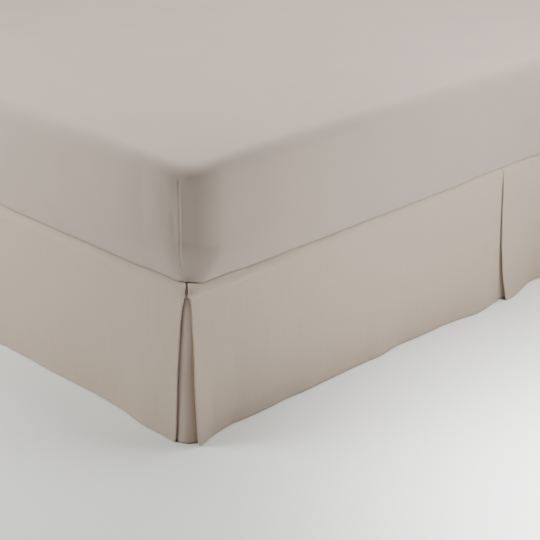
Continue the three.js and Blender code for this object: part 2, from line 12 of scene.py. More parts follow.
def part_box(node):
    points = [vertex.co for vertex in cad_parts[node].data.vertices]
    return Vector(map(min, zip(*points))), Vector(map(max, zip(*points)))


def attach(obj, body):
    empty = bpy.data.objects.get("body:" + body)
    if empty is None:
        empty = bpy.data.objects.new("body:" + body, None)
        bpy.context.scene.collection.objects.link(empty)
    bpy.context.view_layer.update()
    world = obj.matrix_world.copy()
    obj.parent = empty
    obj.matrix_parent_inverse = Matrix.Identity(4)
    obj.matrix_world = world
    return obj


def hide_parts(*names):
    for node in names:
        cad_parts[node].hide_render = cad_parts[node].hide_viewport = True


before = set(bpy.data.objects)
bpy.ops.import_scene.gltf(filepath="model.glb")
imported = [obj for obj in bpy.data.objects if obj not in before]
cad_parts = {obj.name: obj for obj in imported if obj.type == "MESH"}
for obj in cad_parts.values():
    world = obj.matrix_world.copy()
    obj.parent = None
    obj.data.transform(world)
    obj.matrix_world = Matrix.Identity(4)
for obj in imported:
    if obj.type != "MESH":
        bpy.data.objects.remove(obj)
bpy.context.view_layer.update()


# ------------------------------------------------------------------------------------------------------
# Divan base: a timber box, padded on top and covered in plain woven upholstery cloth that is stapled on
# underneath.  A seam runs round it where the top panel is sewn to the border.
# ------------------------------------------------------------------------------------------------------
MM = 0.001
BASE_CORNER = 22 * MM            # plan radius
BASE_TOP_EDGE = 14 * MM
BASE_BOTTOM_EDGE = 5 * MM
BORDER_SEAM = 58 * MM            # below the top of the base
BORDER_SEAM_DEPTH = 1.6 * MM
BORDER_SEAM_HALF = 3.5 * MM
BASE_SHARP = 40                  # degrees: a sharper edge isn't shaded smooth
base_low, base_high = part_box("base")
base_middle = (base_low + base_high) / 2


def edit_edges(piece, wanted):
    """Opens a piece in edit mode with just the edges selected that wanted() picks."""
    bpy.ops.object.mode_set(mode="EDIT")
    bpy.ops.mesh.select_mode(type="EDGE")
    bpy.ops.mesh.select_all(action="DESELECT")
    shape = bmesh.from_edit_mesh(piece.data)
    for edge in shape.edges:
        edge.select_set(wanted(*edge.verts))
    bmesh.update_edit_mesh(piece.data)


def bevel_edges(piece, wanted, radius, segments):
    edit_edges(piece, wanted)
    bpy.ops.mesh.bevel(offset=radius, segments=segments, affect="EDGES")
    bpy.ops.object.mode_set(mode="OBJECT")


def at_height(z):
    """Picks the edges that lie level at this height."""
    return lambda a, b: abs(a.co.z - z) < 1e-5 and abs(b.co.z - z) < 1e-5


def linear(colour):
    """The linear value of an sRGB hex colour."""
    channels = [int(colour[k : k + 2], 16) / 255 for k in (1, 3, 5)]
    return [c / 12.92 if c <= 0.04045 else ((c + 0.055) / 1.055) ** 2.4 for c in channels] + [1.0]


def give(tree, node, inputs):
    """Gives each named input of a node its value, or links it to a socket."""
    for name, value in inputs.items():
        if isinstance(value, bpy.types.NodeSocket):
            tree.links.new(value, node.inputs[name])
        else:
            node.inputs[name].default_value = value


def add_node(tree, kind, inputs=None, **settings):
    """Adds a shader node with its settings and inputs."""
    made = tree.nodes.new("ShaderNode" + kind)
    for name, value in settings.items():
        setattr(made, name, value)
    give(tree, made, inputs or {})
    return made


def new_material(name):
    material = bpy.data.materials.new(name)
    material.use_nodes = True
    return material, material.node_tree, material.node_tree.nodes["Principled BSDF"]


# Upholstery cloth: a plain woven polyester, matt and off-white.  Its 0.9 mm threads are drawn as a fine
# even grain of 1.8 mm, so that it shows, with a little unevenness from the padding.
def divan_cloth():
    material, tree, surface = new_material("woven_upholstery_cloth")
    place = add_node(tree, "TexCoord").outputs["Object"]
    grain = add_node(tree, "TexNoise", {"Vector": place, "Scale": 1 / (1.8 * MM), "Detail": 2.0})
    cloudy = add_node(tree, "TexNoise", {"Vector": place, "Scale": 1 / (160 * MM), "Detail": 3.0})
    uneven = add_node(tree, "Math", {0: grain.outputs["Fac"], 1: 0.35, 2: cloudy.outputs["Fac"]},
                      operation="MULTIPLY_ADD")
    shade = add_node(tree, "MapRange", {"Value": uneven.outputs[0], "From Min": 0.4, "From Max": 0.95})
    colour = add_node(tree, "Mix", {"Factor": shade.outputs[0], 6: linear("#c3bdb3"),
                                    7: linear("#d2cdc4")}, data_type="RGBA")
    relief = add_node(tree, "Bump", {"Height": grain.outputs["Fac"], "Strength": 0.35,
                                     "Distance": 0.3 * MM})
    give(tree, surface, {"Base Color": colour.outputs[2], "Normal": relief.outputs[0],
                         "Roughness": 0.92, "Specular IOR Level": 0.25})
    return material


bpy.ops.object.select_all(action="DESELECT")
bpy.ops.mesh.primitive_cube_add(size=1, location=base_middle, scale=base_high - base_low)
base = bpy.context.object
base.name = "divan_base"
bpy.ops.object.transform_apply(location=True, rotation=True, scale=True)
bevel_edges(base, lambda a, b: abs(a.co.z - b.co.z) > BASE_CORNER, BASE_CORNER, 7)
bevel_edges(base, at_height(base_high.z), BASE_TOP_EDGE, 6)
bevel_edges(base, at_height(base_low.z), BASE_BOTTOM_EDGE, 3)
bpy.ops.object.mode_set(mode="EDIT")
for offset in (-BORDER_SEAM_HALF, 0, BORDER_SEAM_HALF):
    bpy.ops.mesh.select_all(action="SELECT")
    bpy.ops.mesh.bisect(plane_co=(0, 0, base_high.z - BORDER_SEAM + offset), plane_no=(0, 0, 1))
bpy.ops.object.mode_set(mode="OBJECT")
edit_edges(base, at_height(base_high.z - BORDER_SEAM))
half_size = (base_high - base_low) / 2
drawn_in = (1 - BORDER_SEAM_DEPTH / half_size.x, 1 - BORDER_SEAM_DEPTH / half_size.y, 1)
bpy.ops.transform.resize(value=drawn_in, center_override=base_middle)
bpy.ops.object.mode_set(mode="OBJECT")
bpy.ops.object.shade_smooth_by_angle(angle=math.radians(BASE_SHARP))
base.data.materials.append(divan_cloth())
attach(base, "root")
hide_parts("base")


# ------------------------------------------------------------------------------------------------------
# Glides: six low feet moulded in black polypropylene and screwed under the base, each a little smaller
# where it meets the floor, with a worn rounded rim and a collar against the base.
# ------------------------------------------------------------------------------------------------------
GLIDE_FOOT = 23 * MM             # radius at the floor
GLIDE_RIM = 2.5 * MM
COLLAR = 7 * MM                  # height of the collar under the base
COLLAR_STEP = 1.8 * MM
GLIDE_SHARP = 35


# Moulded polypropylene: faintly grained from the mould, half matt, with scuffs from the floor.
def moulded_plastic():
    material, tree, surface = new_material("moulded_polypropylene")
    place = add_node(tree, "TexCoord").outputs["Object"]
    grain = add_node(tree, "TexNoise", {"Vector": place, "Scale": 1 / (0.8 * MM), "Detail": 2.0})
    scuffs = add_node(tree, "TexNoise", {"Vector": place, "Scale": 1 / (9 * MM), "Detail": 5.0})
    matt = add_node(tree, "MapRange", {"Value": scuffs.outputs["Fac"], "To Min": 0.42, "To Max": 0.68})
    relief = add_node(tree, "Bump", {"Height": grain.outputs["Fac"], "Strength": 0.2,
                                     "Distance": 0.1 * MM})
    give(tree, surface, {"Base Color": linear("#2b2a29"), "Roughness": matt.outputs[0],
                         "Normal": relief.outputs[0]})
    return material


glide_nodes = sorted(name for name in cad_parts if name.startswith("glide_"))
glide_low, glide_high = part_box(glide_nodes[0])
glide_middle = (glide_low + glide_high) / 2
glide_radius = (glide_high.x - glide_low.x) / 2
bpy.ops.object.select_all(action="DESELECT")
bpy.ops.mesh.primitive_cylinder_add(
    vertices=48, radius=glide_radius, depth=glide_high.z - glide_low.z, location=glide_middle
)
first_glide = bpy.context.object
bpy.ops.object.transform_apply(location=True, rotation=True, scale=True)
edit_edges(first_glide, at_height(glide_low.z))
tapered = GLIDE_FOOT / glide_radius
bpy.ops.transform.resize(value=(tapered, tapered, 1), center_override=(*glide_middle.xy, glide_low.z))
bpy.ops.mesh.bevel(offset=GLIDE_RIM, segments=4, affect="EDGES")
for offset in (0, COLLAR_STEP):
    bpy.ops.mesh.select_all(action="SELECT")
    bpy.ops.mesh.bisect(plane_co=(0, 0, glide_high.z - COLLAR - offset), plane_no=(0, 0, 1))
bpy.ops.object.mode_set(mode="OBJECT")
edit_edges(first_glide, at_height(glide_high.z - COLLAR - COLLAR_STEP))
waisted = 1 - COLLAR_STEP / glide_radius
bpy.ops.transform.resize(value=(waisted, waisted, 1), center_override=glide_middle)
bpy.ops.object.mode_set(mode="OBJECT")
bevel_edges(first_glide, at_height(glide_high.z - COLLAR), COLLAR_STEP / 3, 2)
bpy.ops.object.shade_smooth_by_angle(angle=math.radians(GLIDE_SHARP))
first_glide.data.materials.append(moulded_plastic())
for name in glide_nodes:
    low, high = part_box(name)
    glide = first_glide if name == glide_nodes[0] else first_glide.copy()
    if glide is not first_glide:
        glide.data = first_glide.data.copy()
        bpy.context.collection.objects.link(glide)
        for vertex in glide.data.vertices:
            vertex.co += (low + high) / 2 - glide_middle
    glide.name = "moulded_" + name
    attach(glide, "root")
    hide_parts(name)


# ------------------------------------------------------------------------------------------------------
# Drops: three long strips of plain linen-look cloth, hemmed below, sewn to the deck above, and folded
# into inverted pleats.  Each turns over the edge of the base and hangs to just above the floor.  From
# here on lengths are in millimetres, and the cloth is worked out along the wall that it hangs on.
# ------------------------------------------------------------------------------------------------------
BASE_INSET = 14                  # the base face lies this far inside the hanging plane of the drops
CORNER = 36                      # plan radius at which the drops turn the corner of the bed
CLOTH = 1.0                      # thickness of the cloth
HEM = 2                          # height of the hem above the floor
SEAM = 31                        # the drops reach this far in over the base
EDGE_TURN = 18                   # radius at which a drop turns over the edge of the base
EDGE_TURN_STEP = 1.5             # each layer further in turns this much tighter
BELOW_TURN = 1                   # its straight part starts at least this far below the turn
LAYER_HANG = 2.8                 # pitch of the layers of a pleat where they hang
LAYER_FLAT = 1.4                 # pitch of the same layers where they lie on the base
PLEAT_DEPTH = 98                 # how far a flap is folded back
HEAD_END = 1972                  # the side drops stop here, measured from the foot of the bed
GAP = 0.3                        # between pieces that rest on each other
FACING = 0.7                     # between the two flaps of a closed pleat
BED_MIDDLE = Vector((base_middle.x, base_middle.y, 0))   # on the floor
HALF_WIDTH = half_size.x / MM + BASE_INSET
HALF_LENGTH = half_size.y / MM + BASE_INSET
CLOTH_BED = base_high.z / MM + GAP + CLOTH / 2   # middle of a cloth that lies on the base
HANG_TOP = CLOTH_BED + 2 * LAYER_FLAT            # and over the layers of a pleat
DROP = HANG_TOP - HEM
DIAGONAL = CORNER * math.pi / 4                  # run from the start of a corner to its middle
PILE_REACH = PLEAT_DEPTH + 12                    # a pleat's layers lift the top cloth this far
PILE_FADE = 58                                   # and the lift fades over this much more
UNDERLAY, RETURN, PANEL = 0, 1, 2                # the three layers of a pleat, from the base out

# In each table "drop" runs from 0 at the top of the hanging cloth to 1 at the hem.  This one says how
# far each flap reaches round its corner, past the start of the round: it gapes a little over the tack,
# which holds it to its neighbour, and opens towards the hem.
CORNER_FLAPS = {
    "drop": (0.0, 0.02, 0.042, 0.058, 0.067, 0.085, 0.12, 0.2, 0.36, 0.58, 0.8, 0.95, 1.0),
    "side_right": (25.2, 25.2, 26.4, 30.0, 26.6, 25.2, 24.2, 23.8, 22.8, 25.4, 27.7, 28.0, 25.2),
    "foot_right": (25.2, 25.2, 26.4, 30.0, 26.6, 25.6, 23.0, 19.2, 14.0, 9.9, 8.6, 7.6, 5.6),
    "side_left": (25.8, 25.8, 26.8, 30.0, 28.6, 28.2, 27.2, 24.5, 19.8, 16.0, 12.7, 10.0, 9.0),
    "foot_left": (25.8, 25.8, 26.8, 30.0, 29.2, 28.8, 28.4, 27.4, 25.0, 22.8, 20.9, 18.9, 18.0),
}
# How much of the corner's bend the hanging flaps have lost at each height.
UNBEND = {
    "drop": (0.0, 0.03, 0.06, 0.1, 0.2, 1.0),
    "lost": (0.0, 0.3, 0.75, 0.92, 0.98, 1.0),
}
# Where the two folded edges of each middle pleat lie, measured from its centre towards the far end.
MIDDLE_SLITS = {
    "drop": (0.0, 0.06, 0.11, 0.2, 0.36, 0.58, 0.8, 0.95, 1.0),
    "right_near": (5.6, 5.6, 5.4, 5.4, 6.5, 7.9, 10.9, 11.6, 12.6),
    "right_far": (6.4, 6.4, 9.4, 11.0, 11.0, 13.0, 17.0, 24.2, 27.0),
    "left_near": (-0.4, -0.4, -1.0, -2.0, -3.4, -4.7, -6.1, -8.0, -9.0),
    "left_far": (0.4, 0.4, 1.3, 2.3, 3.3, 4.2, 5.6, 7.9, 9.0),
    "foot_near": (-0.4, -0.4, -1.1, -2.0, -2.9, -3.9, -5.1, -6.4, -7.0),
    "foot_far": (0.4, 0.4, 0.9, 1.6, 2.6, 3.9, 6.2, 9.4, 11.0),
}
# Soft waves of the hanging cloth.  at: distance from the start of the drop; half: half width;
# out: how far the hem stands out there; rise: power by which the wave grows from the top down.
Wave = namedtuple("Wave", "at half out rise")
WAVES = {
    "right": {
        "near": [Wave(4, 46, 19.5, 1.35), Wave(125, 36, -4.5, 1.6), Wave(285, 40, -2.5, 1.6),
                 Wave(345, 34, 1.5, 1.6), Wave(575, 36, 3.5, 1.8), Wave(650, 46, -4.5, 1.8),
                 Wave(925, 70, 14.5, 1.7)],
        "far": [Wave(1038, 62, 18, 1.9), Wave(1172, 50, -10.8, 1.6), Wave(1390, 60, 6, 1.7),
                Wave(1560, 70, -5, 1.6), Wave(1760, 80, 8, 1.8), Wave(1930, 60, -4, 1.5)],
        "under": [Wave(1042, 26, 12, 1.3)],
    },
    "foot": {
        "near": [Wave(24, 50, 10.5, 1.35), Wave(122, 72, 13.5, 1.5), Wave(330, 50, -1.5, 1.5),
                 Wave(470, 50, 2.5, 1.6), Wave(714, 44, 6, 1.8)],
        "far": [Wave(800, 60, 10, 1.8), Wave(940, 60, -5, 1.6), Wave(1180, 70, 6, 1.7),
                Wave(1375, 55, -4, 1.5), Wave(1484, 50, 15, 1.35)],
        "under": [Wave(750, 60, 3, 1.6)],
    },
    "left": {
        "near": [Wave(10, 52, 15, 1.35), Wave(150, 50, -4, 1.6), Wave(390, 60, 5, 1.7),
                 Wave(560, 50, -3.5, 1.6), Wave(910, 75, 9, 1.8)],
        "far": [Wave(1060, 60, 12, 1.8), Wave(1200, 50, -6, 1.6), Wave(1450, 70, 6, 1.7),
                Wave(1700, 60, -4, 1.6), Wave(1880, 80, 7, 1.8)],
        "under": [Wave(1000, 60, 4, 1.6)],
    },
}
# Faint dents and ridges that folding and handling left in the panels.  at: run; below: from the top;
# half and tall: half width and half height; turn: degrees off upright, leaning to the far end at the
# top; out: height of the ridge, or depth of the dent if it is negative.
Mark = namedtuple("Mark", "at below half tall turn out")
MARKS = {
    "right": [Mark(60, 200, 15, 110, 0, -0.9), Mark(126, 240, 7, 80, -4, -0.7),
              Mark(262, 170, 16, 26, 20, -0.9), Mark(235, 205, 6, 34, -24, 0.6),
              Mark(292, 188, 6, 34, 30, 0.5), Mark(401, 178, 5, 24, 34, 0.8),
              Mark(596, 200, 7, 48, 32, -0.7), Mark(618, 196, 7, 46, 30, 0.5),
              Mark(480, 250, 12, 60, 12, -0.5), Mark(1240, 190, 9, 60, -14, 0.7),
              Mark(1490, 230, 10, 70, 10, -0.8), Mark(1702, 160, 8, 50, 24, 0.6)],
    "foot": [Mark(66, 210, 14, 90, 4, 0.7), Mark(240, 150, 14, 40, -22, -0.6),
             Mark(415, 230, 9, 60, 16, 0.6), Mark(560, 180, 8, 46, -28, -0.6),
             Mark(980, 200, 8, 60, 18, 0.7), Mark(1240, 170, 9, 60, -20, -0.7)],
    "left": [Mark(240, 190, 9, 60, 18, 0.7), Mark(470, 220, 10, 70, -12, -0.7),
             Mark(730, 170, 8, 50, 26, 0.6), Mark(1330, 210, 9, 70, -18, -0.7),
             Mark(1620, 180, 9, 50, 22, 0.6)],
}
PRESS_LINE = 0.9                 # ridge where the inner folds of a pleat show through its flaps
PRESS_STEEP = 7                  # how fast it falls away outside the pleat
PRESS_GENTLE = 42                # and over the layers of the pleat
SEAM_RIDGE = 0.8                 # the turned seam allowance shows through by this much
SEAM_RIDGE_DEPTH = 23            # down to this far below the top of the drop
SEAM_RIDGE_STEP = 3.5            # over this height it ends
RELIEF_START = 8                 # marks, press lines and unevenness start this far down
RELIEF_GROWTH = 30               # and reach their full height over this much more
HEM_TURN = 10                    # height of the turned hem
HEM_EXTRA = 0.3                  # the turned hem is thicker by this on each side
HEM_STEP = 1.5                   # over this height its thickness changes
HEM_RIM = 0.8                    # height of the rounded rim at the bottom
RIM_ROUND = 0.35                 # the rim of a cloth stands out by this share of its thickness

# Slight unevenness of the hanging cloth, from broad to small.
Uneven = namedtuple("Uneven", "out across down seed", defaults=(0,))
UNEVEN = [Uneven(0.45, 70, 190, 3.0), Uneven(0.135, 17, 120, 9.0)]

# Stations down a drop: in over the base, round its edge, and down the hanging cloth, closer together at
# the tack and at the rim of the hem.
Station = namedtuple("Station", "inset turn_left drop")
FLAT_INSETS = (SEAM, 27.5, 24)
TURN_STEPS = 9
HANGING_ROWS = [0.058 + 0.009 * row for row in range(10)] + [0.155 + 0.02 * row for row in range(42)]
STATIONS = [Station(inset, 1, None) for inset in FLAT_INSETS]
STATIONS += [Station(None, 1 - step / TURN_STEPS, None) for step in range(TURN_STEPS + 1)]
STATIONS += [Station(None, 0, drop) for drop in [*HANGING_ROWS, 1 - HEM_RIM / DROP, 1]]


def within(value, low, high):
    return min(high, max(low, value))


def smooth(t):
    t = within(t, 0, 1)
    return t * t * (3 - 2 * t)


def blend(a, b, share):
    return a + (b - a) * share


def bell(distance, half):
    return math.exp(-((distance / half) ** 2))


def read(table, column, drop):
    """The value of one column at a height, on a curve that never overshoots the rows."""
    places, values = table["drop"], table[column]
    last = len(places) - 1

    def slope(k):
        return (values[k + 1] - values[k]) / (places[k + 1] - places[k])

    def bend(k):
        if k in (0, last):
            return slope(min(k, last - 1))
        before, after = slope(k - 1), slope(k)
        return 0 if before * after <= 0 else 2 * before * after / (before + after)

    k = 0
    while k < last - 1 and drop > places[k + 1]:
        k += 1
    span = places[k + 1] - places[k]
    t = within((drop - places[k]) / span, 0, 1)
    t2, t3 = t * t, t * t * t
    return (
        (2 * t3 - 3 * t2 + 1) * values[k] + (t3 - 2 * t2 + t) * span * bend(k)
        + (3 * t2 - 2 * t3) * values[k + 1] + (t3 - t2) * span * bend(k + 1)
    )


def sum_of_waves(waves, at, drop):
    """How far the waves make the cloth stand out at a place and height."""
    return sum(w.out * bell(at - w.at, w.half) * drop**w.rise for w in waves)


# The walls of the bed that the drops hang on.  corners: how many of its corners a drop reaches; to_plan:
# plan position from the run, measured from the foot or from the right side, and the distance outwards.
Wall = namedtuple("Wall", "name length corners to_plan")
WALLS = {
    "right": Wall("right", 2 * HALF_LENGTH, 1, lambda run, out: (HALF_WIDTH + out, run - HALF_LENGTH)),
    "left": Wall("left", 2 * HALF_LENGTH, 1, lambda run, out: (-HALF_WIDTH - out, run - HALF_LENGTH)),
    "foot": Wall("foot", 2 * HALF_WIDTH, 2, lambda run, out: (HALF_WIDTH - run, -HALF_LENGTH - out)),
}


def on_wall(wall, run, out, curvature):
    """Plan position of the cloth at a run along a wall, bent round the corner it reaches."""
    mirrored = wall.corners == 2 and run > wall.length / 2
    from_corner = wall.length - run if mirrored else run
    past = max(0, CORNER - from_corner)
    turn = past * curvature
    bent = curvature > 1e-9
    arc_run = math.sin(turn) / curvature if bent else past
    arc_out = (1 - math.cos(turn)) / curvature if bent else 0
    along = max(from_corner, CORNER) - arc_run - out * math.sin(turn)
    stand = out * math.cos(turn) - arc_out
    return wall.to_plan(wall.length - along if mirrored else along, stand)


def pleat_reach(wall, run):
    """Distance along a wall to the nearest pleat."""
    centres = [0, wall.length / 2] + ([wall.length] if wall.corners == 2 else [])
    return min(abs(run - centre) for centre in centres)


def section(station, layer, lift):
    """How far in and how high a layer lies at a station, before its waves.  lift: share of a pleat's
    layers that lie under the panel there."""
    depth = PANEL - layer
    radius = EDGE_TURN - EDGE_TURN_STEP * depth
    top = CLOTH_BED + LAYER_FLAT * (2 * lift if layer == PANEL else layer)
    angle = station.turn_left * math.pi / 2
    inset = station.inset
    if inset is None:
        inset = LAYER_HANG * depth + radius * (1 - math.cos(angle))
    turn_end = top - radius
    if station.drop is None:
        return inset, turn_end + radius * math.sin(angle)
    return inset, min(turn_end - BELOW_TURN, HANG_TOP - station.drop * DROP)


def drop_at(height):
    return within((HANG_TOP - height) / DROP, 0, 1)


def corner_curvature(drop):
    """How sharply the flaps of a corner pleat still bend round the corner at a height."""
    return (1 - read(UNBEND, "lost", drop)) / CORNER


def panel_relief(wall, run, height):
    """The fine relief of the outer cloth: marks, press lines, the seam ridge and unevenness."""
    below = HANG_TOP - height
    relief = sum(u.out * noise.noise((run / u.across, below / u.down, u.seed * len(wall.name)))
                 for u in UNEVEN)
    from_press = pleat_reach(wall, run) - PLEAT_DEPTH
    fall = PRESS_STEEP if from_press > 0 else PRESS_GENTLE
    relief += PRESS_LINE * math.exp(-abs(from_press) / fall)
    for mark in MARKS[wall.name]:
        across, up = run - mark.at, mark.below - below
        lean = math.radians(mark.turn)
        aside = across * math.cos(lean) - up * math.sin(lean)
        along = across * math.sin(lean) + up * math.cos(lean)
        if abs(aside) < 3 * mark.half and abs(along) < 3 * mark.tall:
            relief += mark.out * bell(aside, mark.half) * bell(along, mark.tall)
    ridge = smooth(below / SEAM_RIDGE_DEPTH) * (1 - smooth((below - SEAM_RIDGE_DEPTH) / SEAM_RIDGE_STEP))
    return relief * smooth((below - RELIEF_START) / RELIEF_GROWTH) + SEAM_RIDGE * ridge


def layer_point(wall, half, layer, run, station):
    """A point of the middle surface of one layer, on one station down the drop."""
    lift = 1 - smooth((pleat_reach(wall, run) - PILE_REACH) / PILE_FADE)
    inset, height = section(station, layer, lift)
    drop = drop_at(height)
    waves = WAVES[wall.name]["under" if layer == UNDERLAY else half]
    out = sum_of_waves(waves, run, drop) - inset
    if layer == PANEL and drop > 0:
        out += panel_relief(wall, run, height)
    at_corner = min(run, wall.length - run if wall.corners == 2 else run) < CORNER
    curvature = corner_curvature(drop) if at_corner else 0
    return Vector((*on_wall(wall, run, out, curvature), height))


FOLD_STEPS = 8                   # round a fold
FOLD_ANGLES = [math.pi * step / FOLD_STEPS for step in range(1, FOLD_STEPS)]
UNDERLAY_STOPS = 13              # from fold to fold of the middle pleat


def fold_point(outer, inner, along, angle):
    """The cloth turns back on itself between two layers, bulging towards along."""
    middle = (outer + inner) / 2
    arm = outer - middle
    return middle + arm * math.cos(angle) + along * arm.length * math.sin(angle)


def spread(length, first, growth, widest, both_ends):
    """Shares along a length, close together where it starts at a fold, or at both of its ends."""
    reach = length / 2 if both_ends else length
    stops, step = [0], first
    while stops[-1] + step < reach:
        stops.append(stops[-1] + step)
        step = min(step * growth, widest)
    shares = [stop / length for stop in [*stops, reach]]
    return shares + [1 - share for share in reversed(shares[:-1])] if both_ends else shares


# A folded edge.  column: its column of the table; towards: 1 if its free fold faces the far end of the
# drop, else -1; far_end: whether its corner is the far one.
Flap = namedtuple("Flap", "table column towards far_end")


def flap_edge(wall, flap, station):
    """The run of a flap's outer edge at a station: at a corner of the bed, or at the middle pleat."""
    inset, height = section(station, PANEL, 1)
    drop = drop_at(height)
    if flap.table is MIDDLE_SLITS:
        return wall.length / 2 + read(MIDDLE_SLITS, flap.column, drop)
    curvature = corner_curvature(drop)
    turn = math.pi / 4 + math.asin((CORNER * curvature - 1) / math.sqrt(2))   # where two flaps meet
    meet = turn / curvature if curvature > 1e-6 else CORNER
    apart = (LAYER_HANG + CLOTH / 2) * math.sin(math.pi / 4 - turn) + FACING / 2
    room = meet - apart / math.cos(math.pi / 4 - turn) / (1 - curvature * inset)
    past = min(read(CORNER_FLAPS, flap.column, drop), room)
    return wall.length - CORNER + past if flap.far_end else CORNER - past


def fold_run(wall, half, flap, station):
    """The run at which a flap's fold is centred, so that its outer edge lies where the tables say."""
    edge = flap_edge(wall, flap, station)
    outer = layer_point(wall, half, PANEL, edge, station)
    radius = (outer - layer_point(wall, half, RETURN, edge, station)).length / 2 + CLOTH / 2
    inset, height = section(station, PANEL, 1)
    curvature = corner_curvature(drop_at(height)) if flap.table is CORNER_FLAPS else 0
    return edge - flap.towards * radius / (1 - curvature * inset)


def inner_end(wall, flap):
    """The run at which the return of a flap ends, at the inner fold or behind the corner."""
    if flap.table is MIDDLE_SLITS:
        return wall.length / 2 - flap.towards * PLEAT_DEPTH
    depth = PLEAT_DEPTH + CORNER - DIAGONAL
    return wall.length - depth if flap.far_end else depth


def folded_back(wall, half, flap, fold, station):
    """One row of a flap, from its free fold back to the inner end of its return."""
    def at(layer, run):
        return layer_point(wall, half, layer, run, station)

    along = at(PANEL, fold + flap.towards) - at(PANEL, fold - flap.towards)
    along.z = 0
    along.normalize()
    outer, inner = at(PANEL, fold), at(RETURN, fold)
    turns = [fold_point(outer, inner, along, angle) for angle in FOLD_ANGLES]
    end = inner_end(wall, flap)
    shares = spread(PLEAT_DEPTH, first=3, growth=1.35, widest=14, both_ends=False)
    return turns + [at(RETURN, blend(fold, end, share)) for share in shares]


def underlay_row(wall, station):
    """The inner folds of the middle pleat and the underlay between them."""
    start, end = wall.length / 2 - PLEAT_DEPTH, wall.length / 2 + PLEAT_DEPTH

    def at(half, layer, run):
        return layer_point(wall, half, layer, run, station)

    along = (at("near", UNDERLAY, start + 1) - at("near", UNDERLAY, start)).normalized()

    def turn(half, run, way):
        outer, inner = at(half, RETURN, run), at(half, UNDERLAY, run)
        return [fold_point(outer, inner, along * way, angle) for angle in FOLD_ANGLES]

    shares = [stop / (UNDERLAY_STOPS - 1) for stop in range(UNDERLAY_STOPS)]
    across = [at("near", UNDERLAY, blend(start, end, share)) for share in shares]
    return turn("near", start, -1) + across + turn("far", end, 1)[::-1]


def drop_row(wall, flaps, station):
    """A whole drop, from the corner pleat at its near end, through the middle pleat, to its far end."""
    halves = ["near", "near", "far", "far"]
    folds = [flap and fold_run(wall, half, flap, station) for flap, half in zip(flaps, halves)]
    pieces = [flap and folded_back(wall, half, flap, fold, station)
              for flap, half, fold in zip(flaps, halves, folds)]

    def panel(half, start, end):
        shares = spread(wall.length / 2, first=2, growth=1.22, widest=6.5, both_ends=True)
        return [layer_point(wall, half, PANEL, blend(start, end, share), station) for share in shares]

    return [
        *pieces[0][::-1],
        *panel("near", folds[0], folds[1]),
        *pieces[1],
        *underlay_row(wall, station),
        *pieces[2][::-1],
        *panel("far", folds[2], folds[3] or HEAD_END),
        *(pieces[3] or []),
    ]


def add_piece(name, points, faces):
    """Adds a smooth piece from points in millimetres, measured from the middle of the bed."""
    mesh = bpy.data.meshes.new(name)
    mesh.from_pydata([BED_MIDDLE + point * MM for point in points], [], faces)
    mesh.polygons.foreach_set("use_smooth", [True] * len(faces))
    mesh.update()
    piece = bpy.data.objects.new(name, mesh)
    bpy.context.collection.objects.link(piece)
    return piece


def sheet_border(down, across):
    """The places round the rim of a sheet, in order."""
    border = [(0, j) for j in range(across)] + [(i, across - 1) for i in range(1, down)]
    border += [(down - 1, j) for j in range(across - 2, -1, -1)]
    return border + [(i, 0) for i in range(down - 2, 0, -1)]


def volume_under(points, face):
    """Six times the volume between a face and the origin: positive in all, if faces point outwards."""
    a, b, c, d = (points[corner] for corner in face)
    return a.dot(b.cross(c)) + a.dot(c.cross(d))


def cloth_sheet(name, rows, half_thickness):
    """A closed sheet of cloth from rows of points of its middle surface.  Its UV map, in metres, is the
    cloth laid flat: across it, and up from its lowest row."""
    down, across = len(rows), len(rows[0])

    def point(i, j):
        return rows[within(i, 0, down - 1)][within(j, 0, across - 1)]

    middle, reference = rows[down // 2], across // 3
    widths, fall = [0.0], [0.0]
    for j in range(1, across):
        widths.append(widths[-1] + (middle[j] - middle[j - 1]).length)
    for i in range(down - 1, 0, -1):
        fall.append(fall[-1] + (rows[i][reference] - rows[i - 1][reference]).length)
    fall.reverse()
    faces_out, faces_in = [], []
    for i in range(down):
        for j in range(across):
            over, along = point(i, j + 1) - point(i, j - 1), point(i + 1, j) - point(i - 1, j)
            normal = over.cross(along).normalized()
            faces_out.append(rows[i][j] + normal * half_thickness(fall[i]))
            faces_in.append(rows[i][j] - normal * half_thickness(fall[i]))
    count = down * across
    border = sheet_border(down, across)
    rim, edge_points = {}, []
    for i, j in border:
        step_i = (i == down - 1) - (i == 0)
        step_j = (j == across - 1) - (j == 0)
        outward = Vector((0, 0, 0))
        if step_i:
            outward += (rows[i][j] - rows[i - step_i][j]).normalized()
        if step_j:
            outward += (rows[i][j] - rows[i][j - step_j]).normalized()
        rim[(i, j)] = 2 * count + len(edge_points)
        edge_points.append(rows[i][j] + outward.normalized() * CLOTH * RIM_ROUND)
    points = faces_out + faces_in + edge_points
    faces = []
    for i in range(down - 1):
        for j in range(across - 1):
            a, d = i * across + j, (i + 1) * across + j
            faces.append((a, a + 1, d + 1, d))
            faces.append((count + a, count + d, count + d + 1, count + a + 1))
    for k, (i, j) in enumerate(border):
        next_i, next_j = border[(k + 1) % len(border)]
        a, b = i * across + j, next_i * across + next_j
        faces.append((b, a, rim[(i, j)], rim[(next_i, next_j)]))
        faces.append((count + a, count + b, rim[(next_i, next_j)], rim[(i, j)]))
    if sum(volume_under(points, face) for face in faces) < 0:
        faces = [face[::-1] for face in faces]
    piece = add_piece(name, points, faces)
    flat = [(widths[j] * MM, fall[i] * MM) for i in range(down) for j in range(across)]
    flat = flat * 2 + [(widths[j] * MM, fall[i] * MM) for i, j in border]
    layer = piece.data.uv_layers.new(name="flat_cloth")
    layer.data.foreach_set("uv", [c for loop in piece.data.loops for c in flat[loop.vertex_index]])
    return piece, (widths[-1] * MM, fall[0] * MM)


